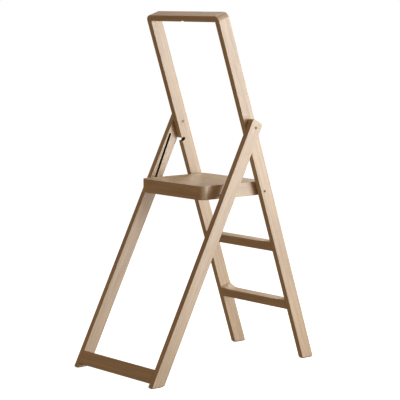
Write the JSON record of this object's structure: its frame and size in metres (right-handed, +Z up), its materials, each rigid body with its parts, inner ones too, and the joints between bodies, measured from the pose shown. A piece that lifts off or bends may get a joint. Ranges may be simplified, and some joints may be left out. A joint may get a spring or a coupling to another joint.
{
  "type": "step ladder",
  "caption": "Folding wooden step ladder: leaning main frame with hand rail and scooped treads, hinged support legs, and a rimmed platform that folds up between the stiles.",
  "frame": {"origin": "centre of the open ladder's footprint, on the floor", "axes": "+X to the climber's right, +Y the way the climber faces, from the treads towards the support legs, +Z up"},
  "size_m": [0.428, 0.7328, 1.1938],
  "materials": {
    "frame_beech": "clear satin lacquer on steamed beech",
    "platform_beech": "clear satin lacquer on steamed beech",
    "dowel_wood": "bare beech",
    "steel": "dark zinc plate",
    "nylon": "matt black",
    "pad_rubber": "matt dark brown"
  },
  "bodies": {
    "main_frame": {"hand_rail": "frame_beech", "lower_tread": "frame_beech", "upper_tread": "frame_beech", "right_stile": "frame_beech", "left_stile": "frame_beech", "lower_tread_dowel_right_1": "dowel_wood", "lower_tread_dowel_right_2": "dowel_wood", "lower_tread_dowel_left_1": "dowel_wood", "lower_tread_dowel_left_2": "dowel_wood", "upper_tread_dowel_right_1": "dowel_wood", "upper_tread_dowel_right_2": "dowel_wood", "upper_tread_dowel_left_1": "dowel_wood", "upper_tread_dowel_left_2": "dowel_wood", "hand_rail_dowel_right_1": "dowel_wood", "hand_rail_dowel_right_2": "dowel_wood", "hand_rail_dowel_left_1": "dowel_wood", "hand_rail_dowel_left_2": "dowel_wood", "pivot_sleeve_nut_right": "steel", "pivot_sleeve_nut_left": "steel", "pivot_screw_right": "steel", "pivot_screw_left": "steel", "pivot_washer_right": "nylon", "pivot_washer_left": "nylon", "stile_foot_pad_right": "pad_rubber", "stile_foot_pad_left": "pad_rubber"},
    "support_frame": {"foot_rail": "frame_beech", "right_support_leg": "frame_beech", "left_support_leg": "frame_beech", "foot_rail_dowel_right_1": "dowel_wood", "foot_rail_dowel_right_2": "dowel_wood", "foot_rail_dowel_left_1": "dowel_wood", "foot_rail_dowel_left_2": "dowel_wood", "leg_foot_pad_right": "pad_rubber", "leg_foot_pad_left": "pad_rubber"},
    "platform": {"platform_panel": "platform_beech", "platform_front_rail": "platform_beech", "platform_rear_rail": "platform_beech", "platform_right_rail": "platform_beech", "platform_left_rail": "platform_beech", "platform_pivot_screw_right": "steel", "platform_pivot_screw_left": "steel", "platform_insert_right": "steel", "platform_insert_left": "steel", "platform_spacer_right": "nylon", "platform_spacer_left": "nylon", "guide_pin_right": "steel", "guide_pin_left": "steel"}
  },
  "joints": [
    {"name": "support_frame_fold", "type": "hinge", "parent": "main_frame", "child": "support_frame", "pos_m": [0, -0.07374, 0.813], "axis": [-1, 0, 0], "range_deg": [0, 45.35]},
    {"name": "platform_fold", "type": "hinge", "parent": "main_frame", "child": "platform", "pos_m": [0, -0.13609, 0.59579], "axis": [1, 0, 0], "range_deg": [0, 71.7]}
  ],
  "couplings": [
    {"joint": "platform_fold", "follows": "support_frame_fold", "ratio": 1.581}
  ]
}
